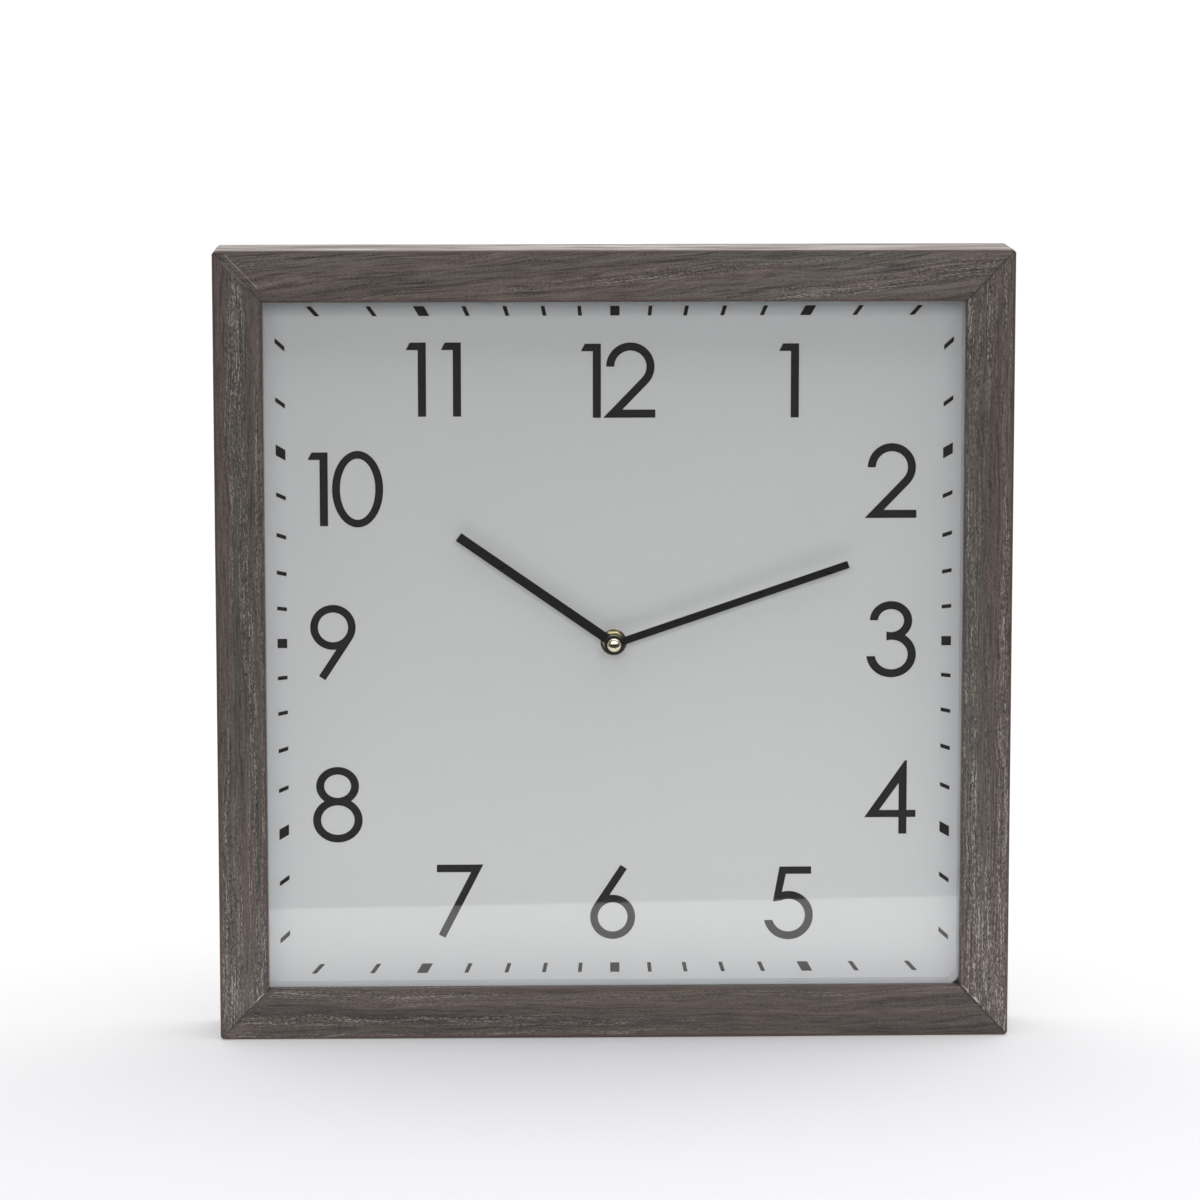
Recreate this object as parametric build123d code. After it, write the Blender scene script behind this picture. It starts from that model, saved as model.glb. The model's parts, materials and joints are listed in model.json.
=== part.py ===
from build123d import *
import math
import os

os.makedirs("parts", exist_ok=True)

# A square wall clock: a mitred wooden frame, a glass pane, a printed square dial on a board,
# two bar hands and a battery quartz movement behind the board.
#
# Millimetres. X is to the right of a person who reads the clock, +Y goes towards the wall and
# +Z is up. The clock stands on z = 0, and the origin is under the middle of its box.
# "Depth" below is measured back from the front face of the frame.

# ------------------------------------------------------------------ driving dimensions
FRAME_SIZE = 400.0        # outer width and height of the frame
RAIL_WIDTH = 25.8         # width of the top and bottom rails in the front view
STILE_WIDTH = 24.7        # width of the two sides
RAIL_DEPTH = 46.0         # front face to back face
LIP = 6.0                 # thickness of the lip in front of the glass
REBATE = 6.0              # how far the lip covers the edge of the glass
EASED_EDGE = 1.2          # radius along the rails' long edges
WORN_CORNER = 1.6         # the frame's four outer corners are cut back this far along both sides

GLASS = 2.0
SPACER_DEPTH = 13.0       # gap between the glass and the dial
SHEET = 0.3               # printed dial sheet
INK = 0.1
BOARD = 3.0               # dial board
EDGE_GAP = 0.4            # glass, dial and board are this much smaller than the rebate, each side

TRACK_HALF = 168.2        # half of the square that the minute marks follow
MARK_LENGTH = 4.9
MINUTE_MARK = 1.9
HOUR_MARK = 4.7
STROKE = 4.1              # stroke width of the numerals
FIGURE = 37.4             # height of the numerals
PRINT_ASIDE = 0.6         # the figures and marks are printed this far to the right of the shaft

MINUTE_LENGTH = 125.0
MINUTE_WIDTH = 3.8
MINUTE_AT = 71.2          # degrees clockwise from 12
HOUR_LENGTH = 95.5
HOUR_WIDTH = 4.8
HOUR_AT = 304.9
HAND = 0.5                # thickness of a hand
HUB = 9.6                 # diameter of the round centre of a hand

CASE = 56.0               # movement case, width and height
CASE_DEPTH = 18.0
WALL = 1.2
CASE_CORNER = 2.5
RUBBER = 1.0

HANGER_STAND = 2.0        # how far the hanger stands off the frame's back
RUNNING = 0.05            # radial clearance of a turning shaft

# ------------------------------------------------------------------ derived places
CENTRE_Z = FRAME_SIZE / 2
FRONT_Y = -(RAIL_DEPTH + HANGER_STAND) / 2
OUTER = FRAME_SIZE / 2
SIGHT = OUTER - RAIL_WIDTH       # half the height of the opening
SIGHT_ACROSS = OUTER - STILE_WIDTH   # half its width
POCKET = SIGHT + REBATE          # half the height of the rebate behind it
POCKET_ACROSS = SIGHT_ACROSS + REBATE
GLASS_BACK = LIP + GLASS
DIAL = GLASS_BACK + SPACER_DEPTH
BOARD_FRONT = DIAL + SHEET
BOARD_BACK = BOARD_FRONT + BOARD
CASE_FRONT = BOARD_BACK + RUBBER
COVER = WALL              # thickness of the movement's back cover
COVER_INSIDE = CASE_DEPTH - COVER
INNER = CASE / 2 - WALL
PARTITION_TOP = -10.4     # the wall between the wheels and the battery, below the centre
PARTITION_BOTTOM = PARTITION_TOP - WALL


# ------------------------------------------------------------------ helpers
def plate(outline, near, far):
    """Extrude an outline, drawn as seen from the front about the dial's centre, between two depths."""
    plane = Plane(origin=(0, FRONT_Y + far, CENTRE_Z), x_dir=(1, 0, 0), z_dir=(0, -1, 0))
    return extrude(plane * outline, amount=far - near)


def inside(outline, near, far):
    """The same, with depths measured from the front of the movement case."""
    return plate(outline, CASE_FRONT + near, CASE_FRONT + far)


def disc(diameter, at=(0, 0)):
    return Pos(at[0], at[1]) * Circle(diameter / 2)


def ring(outer, inner, at=(0, 0)):
    return disc(outer, at) - disc(inner, at)


def block(x_low, x_high, z_low, z_high):
    """A rectangle given by its edges."""
    centre = Pos((x_low + x_high) / 2, (z_low + z_high) / 2)
    return centre * Rectangle(x_high - x_low, z_high - z_low)


def polygon(*points):
    return make_face(Polyline(*points, close=True))


def polar(radius, degrees):
    angle = math.radians(degrees)
    return radius * math.cos(angle), radius * math.sin(angle)


def away(start, distance, degrees):
    step = polar(distance, degrees)
    return start[0] + step[0], start[1] + step[1]


nodes = {}


def node(name, *shapes):
    """Collect every solid of the shapes under one name."""
    solids = [solid for shape in shapes for solid in shape.solids()]
    nodes[name] = solids[0] if len(solids) == 1 else Compound(children=solids)


# ------------------------------------------------------------------ frame
V_NAIL_LEG = 7.0
V_NAIL_THICK = 0.6
V_NAIL_HEIGHT = 10.0
TAB_SIZE = (8.0, 12.0)    # retaining tab: width, length
TAB_THICK = 0.5
TAB_HELD = 6.0            # length pushed into the rail
TAB_PLACES = (-105.0, 105.0)


def rail(sight, half_opening):
    """A top rail: an L section with eased edges, mitred at both ends. sight is the height of its inner edge
    above the clock's centre, and half_opening half the length of that edge."""
    pocket = sight + REBATE
    section = polygon((0, sight), (0, OUTER), (RAIL_DEPTH, OUTER), (RAIL_DEPTH, pocket), (LIP, pocket),
                      (LIP, sight))
    eased = [v for v in section.vertices() if v.X < LIP / 2 or v.Y > OUTER - 1]
    section = fillet(eased, EASED_EDGE)
    side = Plane(origin=(-OUTER, FRONT_Y, CENTRE_Z), x_dir=(0, 1, 0), z_dir=(1, 0, 0))
    bar = extrude(side * section, amount=2 * OUTER)
    over = 0.05           # the cutting outline runs this much of the mitre's length past both of its ends
    x_step, z_step = over * (OUTER - half_opening), over * (OUTER - sight)
    high = (OUTER + x_step, OUTER + z_step)
    low = (half_opening - x_step, sight - z_step)
    mitre = polygon((-high[0], high[1]), high, low, (-low[0], low[1]))
    worn = chamfer(Rectangle(FRAME_SIZE, FRAME_SIZE).vertices(), WORN_CORNER)
    return bar & plate(mitre & worn, -1, RAIL_DEPTH + 1)


def turned(shape, quarter_turns):
    """Turn a shape clockwise about the dial's centre, as seen from the front."""
    axis = Axis((0, 0, CENTRE_Z), (0, -1, 0))
    return shape.rotate(axis, -90 * quarter_turns)


def v_nail():
    """An L of steel strip driven into the back of the top right mitre, one leg in each rail."""
    corner = (OUTER + POCKET) / 2
    legs = block(corner - V_NAIL_LEG, corner, corner, corner + V_NAIL_THICK)
    legs += block(corner, corner + V_NAIL_THICK, corner - V_NAIL_LEG, corner + V_NAIL_THICK)
    return plate(legs, RAIL_DEPTH - V_NAIL_HEIGHT, RAIL_DEPTH - 0.2)


def retaining_tab(x, pocket):
    """A flat steel tab pushed into a top rail behind the dial board."""
    width, length = TAB_SIZE
    top = pocket + TAB_HELD
    return plate(block(x - width / 2, x + width / 2, top - length, top), BOARD_BACK, BOARD_BACK + TAB_THICK)


def make_frame():
    v_nails = [turned(v_nail(), k) for k in range(4)]
    pockets = (POCKET, POCKET_ACROSS, POCKET, POCKET_ACROSS)
    tabs = [turned(retaining_tab(x, pockets[k]), k) for k in range(4) for x in TAB_PLACES]
    for k, name in enumerate(("frame_rail_top", "frame_stile_right", "frame_rail_bottom", "frame_stile_left")):
        upright = k % 2 == 1
        piece = turned(rail(SIGHT_ACROSS, SIGHT) if upright else rail(SIGHT, SIGHT_ACROSS), k)
        for metal in v_nails + tabs:
            piece = piece - metal
        if k == 0:
            for x in NAIL_PLACES:
                piece = piece - hanger_nail(x)
        node(name, piece)
    node("corner_v_nails", *v_nails)
    node("retaining_tabs", *tabs)


# ------------------------------------------------------------------ hanger
HANGER_LENGTH = 62.0
HANGER_HEIGHT = 11.0
HANGER_SHEET = 0.8
HANGER_TEETH = 11
HANGER_TOOTH = 2.4
HANGER_MIDDLE = (POCKET + OUTER) / 2
NAIL_PLACES = (-26.0, 26.0)
NAIL_SHANK = 1.3
NAIL_HEAD = 3.4
NAIL_LENGTH = 12.0


def hanger_nail(x):
    at = (x, HANGER_MIDDLE)
    shank = plate(disc(NAIL_SHANK, at), RAIL_DEPTH - NAIL_LENGTH, RAIL_DEPTH + HANGER_SHEET)
    head = plate(disc(NAIL_HEAD, at), RAIL_DEPTH + HANGER_SHEET, RAIL_DEPTH + 2 * HANGER_SHEET)
    return shank + head


def make_hanger():
    """A stamped strip: two flat ends, and a raised middle with teeth along its lower edge."""
    low = HANGER_MIDDLE - HANGER_HEIGHT / 2
    high = HANGER_MIDDLE + HANGER_HEIGHT / 2
    half = HANGER_LENGTH / 2
    raised = half - 14
    slope = raised + 3
    outline = block(-half, half, low, high)
    pitch = 2 * (raised - 2) / HANGER_TEETH
    for k in range(HANGER_TEETH):
        left = -raised + 2 + k * pitch
        outline -= polygon((left, low - 0.1), (left + pitch / 2, low + HANGER_TOOTH), (left + pitch, low - 0.1))
    for x in NAIL_PLACES:
        outline -= disc(NAIL_SHANK, (x, HANGER_MIDDLE))
    lift = HANGER_STAND - HANGER_SHEET
    path = ((-half, 0), (-slope, 0), (-raised, lift), (raised, lift), (slope, 0), (half, 0))
    top = [(x, y + HANGER_SHEET) for x, y in reversed(path)]
    edge = Plane(origin=(0, FRONT_Y + RAIL_DEPTH, CENTRE_Z + low - 1), x_dir=(1, 0, 0), z_dir=(0, 0, 1))
    strip = extrude(edge * polygon(*path, *top), amount=HANGER_HEIGHT + 2)
    stamped = plate(outline, RAIL_DEPTH - 1, RAIL_DEPTH + HANGER_STAND + 1)
    node("sawtooth_hanger", strip & stamped)
    node("hanger_nails", *[hanger_nail(x) for x in NAIL_PLACES])


# ------------------------------------------------------------------ glass, spacers and dial
SPACER_WIDTH = 5.6
SPACER_BACK = 0.2         # the spacers stand this far behind the edge of the opening
SPACER_END = 1.6          # radius on the inner ends of the spacers
BEND = 4.1                # the bottom spacer's right end turns up across the corner, this far from it
BEND_THICK = 1.13         # thickness of the turned end, measured along the bottom
PANE_NIP = 14.4           # the pane's corner there is nipped off, this far along both edges
CENTRE_HOLE = 8.4


def make_glass_and_dial():
    half_x, half_z = POCKET_ACROSS - EDGE_GAP, POCKET - EDGE_GAP
    sheet = block(-half_x, half_x, -half_z, half_z)
    nipped = polygon((half_x - PANE_NIP, -half_z - 1), (half_x + 1, -half_z - 1),
                     (half_x + 1, -half_z + PANE_NIP))
    node("glass_pane", plate(sheet - nipped, LIP, GLASS_BACK))
    pierced = sheet - disc(CENTRE_HOLE)
    node("dial_sheet", plate(pierced, DIAL, BOARD_FRONT))
    node("dial_board", plate(pierced, BOARD_FRONT, BOARD_BACK))

    inner_x, inner_z = SIGHT_ACROSS + SPACER_BACK, SIGHT + SPACER_BACK
    outer_x, outer_z = inner_x + SPACER_WIDTH, inner_z + SPACER_WIDTH
    long_strip = block(-outer_x, outer_x, inner_z, outer_z)
    short_half = inner_z - 0.8
    short_strip = block(-short_half, short_half, inner_x, outer_x)
    ends = [v for v in short_strip.vertices() if v.Y < inner_x + 0.1]
    short_strip = fillet(ends, SPACER_END)
    bend_start = -inner_x + BEND
    bent_strip = block(bend_start - BEND_THICK, outer_x, inner_z, outer_z)
    bend_end = inner_z - BEND
    bent_strip += polygon((bend_start, inner_z), (-inner_x, bend_end), (-inner_x, bend_end + BEND_THICK),
                          (bend_start - BEND_THICK, inner_z))
    node("spacer_strip_top", plate(long_strip, GLASS_BACK, DIAL))
    node("spacer_strip_right", turned(plate(short_strip, GLASS_BACK, DIAL), 1))
    node("spacer_strip_bottom", turned(plate(bent_strip, GLASS_BACK, DIAL), 2))
    node("spacer_strip_left", turned(plate(short_strip, GLASS_BACK, DIAL), 3))


def minute_marks():
    """Sixty radial bars, each cut off square by the band that follows the sides of the dial."""
    low = TRACK_HALF - MARK_LENGTH / 2
    high = TRACK_HALF + MARK_LENGTH / 2
    marks = []
    for k in range(60):
        clockwise = 6 * k
        quarter = round(clockwise / 90)
        tilt = math.tan(math.radians(clockwise - 90 * quarter))
        width = HOUR_MARK if k % 5 == 0 else MINUTE_MARK
        half = width * math.hypot(1, tilt) / 2
        bar = polygon((low * tilt - half, low), (low * tilt + half, low), (high * tilt + half, high),
                      (high * tilt - half, high))
        marks.append(turned(plate(bar, DIAL - INK, DIAL), quarter))
    return marks


# ------------------------------------------------------------------ numerals
# Each figure stands on y = 0. The round ones are built from circles and ellipses about x = 0.
def figure_1():
    """A stem on the right of x = 0 with a short flag that is flat on top."""
    flag = 6.0
    tip = FIGURE - 3.8
    return polygon((0, 0), (STROKE, 0), (STROKE, FIGURE), (2.0 - flag, FIGURE), (-flag, tip), (0, tip))


def figure_2():
    outer = 12.2
    inner = outer - STROKE
    centre = FIGURE + 0.6 - outer
    slant = 46.0
    lean = math.tan(math.radians(slant))
    side = slant - 90
    bowl = Pos(0, centre) * (Circle(outer) - Circle(inner))
    bowl &= block(-20, 20, centre, 40) + polygon((0, centre), away((0, centre), 30, side), (30, centre))
    high_out = away((0, centre), outer, side)
    high_in = away((0, centre), inner, side)
    corner_out = (high_out[0] - (high_out[1] - STROKE) / lean, STROKE)
    corner_in = (high_in[0] - high_in[1] / lean, 0)
    tail = polygon(high_in, high_out, corner_out, (12.6, STROKE), (12.6, 0), corner_in)
    return bowl + tail


def figure_3():
    top = Pos(0, 28.9) * Ellipse(10.8, 10.0)
    top_hole = Pos(0, 28.9) * Ellipse(6.6, 5.9)
    base = Pos(0.2, 11.6) * Ellipse(12.6, 11.8)
    base_hole = Pos(0.3, 11.5) * Ellipse(8.3, 7.6)
    spine = -2.3
    upper = top & (block(-20, 20, 29.1, 40) + block(spine, 20, 0, 29.1))
    lower = base & (block(-20, 20, -1, 10.7) + block(spine, 20, 10.7, 40))
    return upper + lower - top_hole - base_hole


def figure_4():
    outline = polygon((-13.6, 8.6), (7.0, 38.0), (8.0, 38.0), (8.0, 12.3), (12.6, 12.3), (12.6, 8.6),
                      (8.0, 8.6), (8.0, 0), (3.9, 0), (3.9, 8.6))
    return outline - polygon((-6.0, 12.3), (3.9, 12.3), (3.9, 26.2))


def figure_5():
    outer = 12.6
    centre = (0, 12.1)
    bowl = Pos(*centre) * (Circle(outer) - Circle(outer - STROKE))
    back = 3.6
    bowl &= block(-20, 20, -1, 9.6) + block(-back, 20, 9.6, 40)
    join = centre[1] + math.sqrt((outer - STROKE) ** 2 - back ** 2)
    stem = polygon((-4.6, FIGURE), (11.6, FIGURE), (11.6, FIGURE - STROKE + 0.3), (-1.3, FIGURE - STROKE + 0.3),
                   (-3.3, 24.2), (-back, join), (-7.9, 19.2))
    return bowl + stem


def figure_6():
    """A round bowl, and a straight stem whose left edge runs on from the bowl's edge."""
    outer = 11.5
    slant = 56.7
    width = 3.9
    length = 24.8
    centre = (0, 11.4)
    start = away(centre, outer, slant + 90)
    end = away(start, length, slant)
    stem = polygon(start, end, away(end, width, slant - 90), away(start, width, slant - 90))
    return stem + Pos(*centre) * Circle(outer) - Pos(*centre) * Circle(outer - STROKE + 0.2)


def figure_7():
    slant = 62.8
    lean = 1 / math.tan(math.radians(slant))
    corner = (11.8, FIGURE)
    foot = (corner[0] - FIGURE * lean - 0.3, -0.6)
    heel = away(foot, STROKE - 0.3, slant + 90)
    bar_bottom = FIGURE - STROKE + 0.2
    inner = (heel[0] + (bar_bottom - heel[1]) * lean, bar_bottom)
    return polygon(corner, foot, heel, inner, (-11.9, bar_bottom), (-11.9, FIGURE))


def figure_8():
    upper = Pos(0, 28.7) * Ellipse(10.9, 9.9)
    lower = Pos(0, 11.2) * Ellipse(12.6, 11.6)
    return upper + lower - Pos(0, 28.7) * Ellipse(6.8, 6.0) - Pos(0, 11.2) * Ellipse(8.5, 7.6)


def figure_9():
    return Pos(0, FIGURE) * Rot(0, 0, 180) * figure_6()


def figure_0():
    middle = Pos(0, FIGURE / 2)
    return middle * Ellipse(12.9, 19.4) - middle * Ellipse(8.9, 15.5)


# hour: the figures, each with the place of its own origin on the dial
NUMERALS = {
    12: ((figure_1, -11.1, 114.2), (figure_2, 7.8, 114.2)),
    1: ((figure_1, 88.6, 114.1),),
    2: ((figure_2, 139.9, 62.9),),
    3: ((figure_3, 140.1, -18.5),),
    4: ((figure_4, 140.8, -99.5),),
    5: ((figure_5, 88.7, -153.7),),
    6: ((figure_6, -1.1, -153.4),),
    7: ((figure_7, -78.8, -151.8),),
    8: ((figure_8, -140.9, -102.2),),
    9: ((figure_9, -142.6, -17.9),),
    10: ((figure_1, -148.7, 59.7), (figure_0, -129.6, 59.7)),
    11: ((figure_1, -99.0, 115.0), (figure_1, -81.4, 115.0)),
}


def make_print():
    figures = [plate(Pos(x, z) * draw(), DIAL - INK, DIAL) for hour in NUMERALS.values() for draw, x, z in hour]
    aside = Pos(PRINT_ASIDE, 0, 0)
    node("numerals_print", *[aside * shape for shape in figures])
    node("minute_track_print", *[aside * shape for shape in minute_marks()])


# ------------------------------------------------------------------ gears
PRESSURE = 28.0           # pressure angle
ADDENDUM = 0.75           # of the module
DEDENDUM = 1.0
BACKLASH = 0.20           # of the module, taken off each tooth's thickness


def gear(teeth, module, at, tooth_at):
    """A spur gear's outline. One tooth's middle points along tooth_at, in degrees."""
    pitch_radius = teeth * module / 2
    base_radius = pitch_radius * math.cos(math.radians(PRESSURE))
    root_radius = pitch_radius - DEDENDUM * module
    tip_radius = pitch_radius + ADDENDUM * module
    half_thickness = (math.pi / 2 - BACKLASH) * module / 2

    def involute(radius):
        angle = math.acos(base_radius / radius)
        return math.tan(angle) - angle

    half_angle = half_thickness / pitch_radius + involute(pitch_radius)
    low = max(base_radius, root_radius)
    flank = [(root_radius, half_angle - involute(low))] if root_radius < low else []
    steps = 3
    for k in range(steps + 1):
        radius = low + (tip_radius - low) * k / steps
        flank.append((radius, half_angle - involute(radius)))
    points = []
    for tooth in range(teeth):
        middle = 360 * tooth / teeth + tooth_at
        for radius, angle in flank:
            points.append(away(at, radius, middle - math.degrees(angle)))
        for radius, angle in reversed(flank):
            points.append(away(at, radius, middle + math.degrees(angle)))
    return polygon(*points)


def gap_towards(teeth, degrees):
    """The tooth angle that puts a gap, not a tooth, on the line towards a mating gear."""
    return degrees + 180 / teeth


def meshing(teeth, other_teeth, other_tooth_at, line):
    """The tooth angle of a gear that meshes with another one whose tooth angle is known.

    line is the direction from the other gear's centre to this one's.
    """
    phase = (line - other_tooth_at) * other_teeth / 360
    return gap_towards(teeth, line + 180) + phase * 360 / teeth


# Wheels, as seen from the front, about the dial's centre.
THIRD_TO_CENTRE = 10.2
FIFTH_TO_CENTRE = 7.28
ROTOR_TO_FIFTH = 6.0
MINUTE_WHEEL_TO_CENTRE = 9.6
THIRD_LINE = 150.0
FIFTH_LINE = 75.0
ROTOR_LINE = 60.0
MINUTE_WHEEL_LINE = -10.0
KNOB_LINE = 20.0
AXIS = (0.0, 0.0)
THIRD_AXIS = away(AXIS, THIRD_TO_CENTRE, THIRD_LINE)
FIFTH_AXIS = away(AXIS, FIFTH_TO_CENTRE, FIFTH_LINE)
ROTOR_AXIS = away(FIFTH_AXIS, ROTOR_TO_FIFTH, ROTOR_LINE)
MINUTE_WHEEL_AXIS = away(AXIS, MINUTE_WHEEL_TO_CENTRE, MINUTE_WHEEL_LINE)
KNOB_AXIS = away(MINUTE_WHEEL_AXIS, MINUTE_WHEEL_TO_CENTRE, KNOB_LINE)

CENTRE_TEETH, THIRD_PINION, CENTRE_MODULE = 64, 8, 2 * THIRD_TO_CENTRE / 72
THIRD_TEETH, SECONDS_PINION, THIRD_MODULE = 60, 8, 2 * THIRD_TO_CENTRE / 68
SECONDS_TEETH, FIFTH_PINION, SECONDS_MODULE = 48, 8, 2 * FIFTH_TO_CENTRE / 56
FIFTH_TEETH, ROTOR_PINION, FIFTH_MODULE = 40, 8, 2 * ROTOR_TO_FIFTH / 48
MINUTE_TEETH, CANNON_PINION, MINUTE_MODULE = 36, 12, 2 * MINUTE_WHEEL_TO_CENTRE / 48
HOUR_TEETH, HOUR_PINION, HOUR_MODULE = 40, 10, 2 * MINUTE_WHEEL_TO_CENTRE / 50
KNOB_PINION = 12

ARBOR = 1.2
PIVOT = 0.8
PIVOT_END = 0.7           # how far a pivot enters a plate
POST = 3.0
MIDDLE_NEAR, MIDDLE_FAR = 7.4, 8.4
MIDDLE_POSTS = ((-15.0, -7.0), (-14.0, 15.5), (15.0, 12.0))
COIL_Z = 21.0
COIL_POSTS = ((-14.0, COIL_Z), (14.0, COIL_Z))
CORNER_POSTS = ((-24.2, 24.6), (24.2, 24.6), (24.2, -7.8), (-24.2, -7.8))
CORE_NEAR, CORE_FAR, STATOR_FAR = 12.8, 13.6, 14.4
SCREW = 1.6

# Centre shafts.
BUSHING = 7.9
PIPE = 5.0
MINUTE_SHAFT = 3.2
SECONDS_SHAFT = 0.8
BUSHING_END = 17.6        # depths behind the front face, as are the six below
PIPE_END = 15.7
HOUR_HAND_NEAR = 15.9
MINUTE_HAND_NEAR = 13.4
BOSS_NEAR = 10.9          # the raised centre of the minute hand
SHAFT_TIP = 9.5
CAP_TIP = 8.6
CAP = (7.1, 0.6)          # diameter, height of its upright rim
WASHER = (13.3, 0.6)      # diameter, thickness
NUT = (10.0, 2.2)         # across flats, thickness


def make_case():
    corner = CASE / 2
    shell = inside(RectangleRounded(CASE, CASE, CASE_CORNER), 0, CASE_DEPTH)
    shell -= inside(block(-INNER, INNER, PARTITION_TOP, INNER), WALL, CASE_DEPTH + 1)
    shell -= inside(block(-INNER, INNER, -INNER, PARTITION_BOTTOM), WALL, CASE_DEPTH + 1)
    for at in MIDDLE_POSTS:
        shell += inside(disc(POST, at), WALL - 0.1, MIDDLE_NEAR)
        shell += inside(disc(POST / 2, at), MIDDLE_NEAR - 0.1, MIDDLE_FAR)
    for at in COIL_POSTS:
        shell += inside(disc(POST + 1, at), WALL - 0.1, CORE_NEAR)
        shell -= inside(disc(SCREW, at), CORE_NEAR - 5, CORE_NEAR + 1)
    for at in CORNER_POSTS:
        shell += inside(disc(POST + 1, at), WALL - 0.1, COVER_INSIDE)
    minute_post = disc(ARBOR, MINUTE_WHEEL_AXIS)
    shell += inside(minute_post, WALL - 0.1, 5.5)
    shell -= inside(disc(BUSHING), -1, WALL + 1)
    for at in (THIRD_AXIS, KNOB_AXIS):
        shell -= inside(disc(PIVOT + 2 * RUNNING, at), WALL - PIVOT_END - 0.1, WALL + 1)
    slot = block(-INNER, -INNER + 0.8, PARTITION_BOTTOM - 1, PARTITION_TOP + 1)
    shell -= inside(slot, 3.2, 6.2)
    shell -= inside(Pos(2 * INNER - 0.8, 0) * slot, 3.2, 6.2)
    # A finger notch in the lower edge, to lift the battery out.
    shell -= inside(block(-8, 8, -corner - 1, -INNER + 0.1), CASE_DEPTH - 5, CASE_DEPTH + 1)
    node("movement_case", shell)

    gap = 0.1
    cover = inside(block(-INNER + gap, INNER - gap, PARTITION_TOP + gap, INNER - gap), COVER_INSIDE, CASE_DEPTH)
    for at in (THIRD_AXIS, FIFTH_AXIS, ROTOR_AXIS, AXIS):
        cover -= inside(disc(PIVOT + 2 * RUNNING, at), COVER_INSIDE - 1, COVER_INSIDE + PIVOT_END + 0.1)
    cover -= inside(disc(POST + 2 * RUNNING, KNOB_AXIS), COVER_INSIDE - 1, CASE_DEPTH + 1)
    node("movement_cover", cover)


def make_middle_plate():
    """The inner bearing plate, between the centre wheel and the third wheel."""
    outline = polygon((-18.5, -9.2), (-11.5, -9.2), (15.2, -6.0), (15.2, 9.4), (17.6, 10.4), (17.6, 14.6),
                      (-11.4, 18.0), (-16.6, 18.0), (-18.5, 6.0))
    for at in MIDDLE_POSTS:
        outline -= disc(POST / 2, at)
    outline -= disc(3.4, THIRD_AXIS)
    outline -= disc(SECONDS_SHAFT + 0.4)
    for at in (FIFTH_AXIS, ROTOR_AXIS):
        outline -= disc(PIVOT + 2 * RUNNING, at)
    node("middle_plate", inside(outline, MIDDLE_NEAR, MIDDLE_FAR))


def make_mounting():
    """The threaded bushing that holds the movement to the dial board, with its washers and nut."""
    bushing = plate(ring(BUSHING, PIPE + 2 * RUNNING), BUSHING_END, CASE_FRONT + WALL)
    bushing += inside(ring(10.5, PIPE + 2 * RUNNING), WALL, WALL + 0.9)
    node("threaded_bushing", bushing)
    node("rubber_washer", plate(ring(26, BUSHING), BOARD_BACK, CASE_FRONT))
    diameter, thick = WASHER
    node("brass_washer", plate(ring(diameter, BUSHING), DIAL - thick, DIAL))
    flats, nut_thick = NUT
    nut_back = DIAL - thick
    hexagon = RegularPolygon(flats / 2, 6, major_radius=False) - disc(BUSHING)
    nut = plate(hexagon, nut_back - nut_thick, nut_back)
    corner_cut = Cone(flats / 2 - 0.1, flats / 2 + 2.5, nut_thick + 0.4)
    cut_plane = Plane(origin=(0, FRONT_Y + nut_back - nut_thick, CENTRE_Z), x_dir=(1, 0, 0), z_dir=(0, 1, 0))
    node("hex_nut", nut & (cut_plane * Pos(0, 0, nut_thick / 2 + 0.2) * corner_cut))


def make_hour_body():
    bore = MINUTE_SHAFT + 2 * RUNNING
    wheel = gear(HOUR_TEETH, HOUR_MODULE, AXIS, MINUTE_WHEEL_LINE)
    hour_wheel = inside(wheel - disc(bore), 2.6, 3.4)
    hour_wheel += plate(ring(PIPE, bore), PIPE_END, CASE_FRONT + 2.7)
    node("hour_wheel", hour_wheel)
    node("hour_hand", hand(HOUR_LENGTH, HOUR_WIDTH, HOUR_AT, HOUR_HAND_NEAR, PIPE, 7.6, 0.9))


def hand(length, width, clockwise, near, bore, collet, collet_length):
    """A straight bar with a square end, a round centre and a collet behind it."""
    blade = Rot(0, 0, -clockwise) * block(-width / 2, width / 2, 0, length)
    shape = plate(blade + disc(HUB) - disc(bore), near, near + HAND)
    return shape + plate(ring(collet, bore), near + HAND, near + HAND + collet_length)


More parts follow.
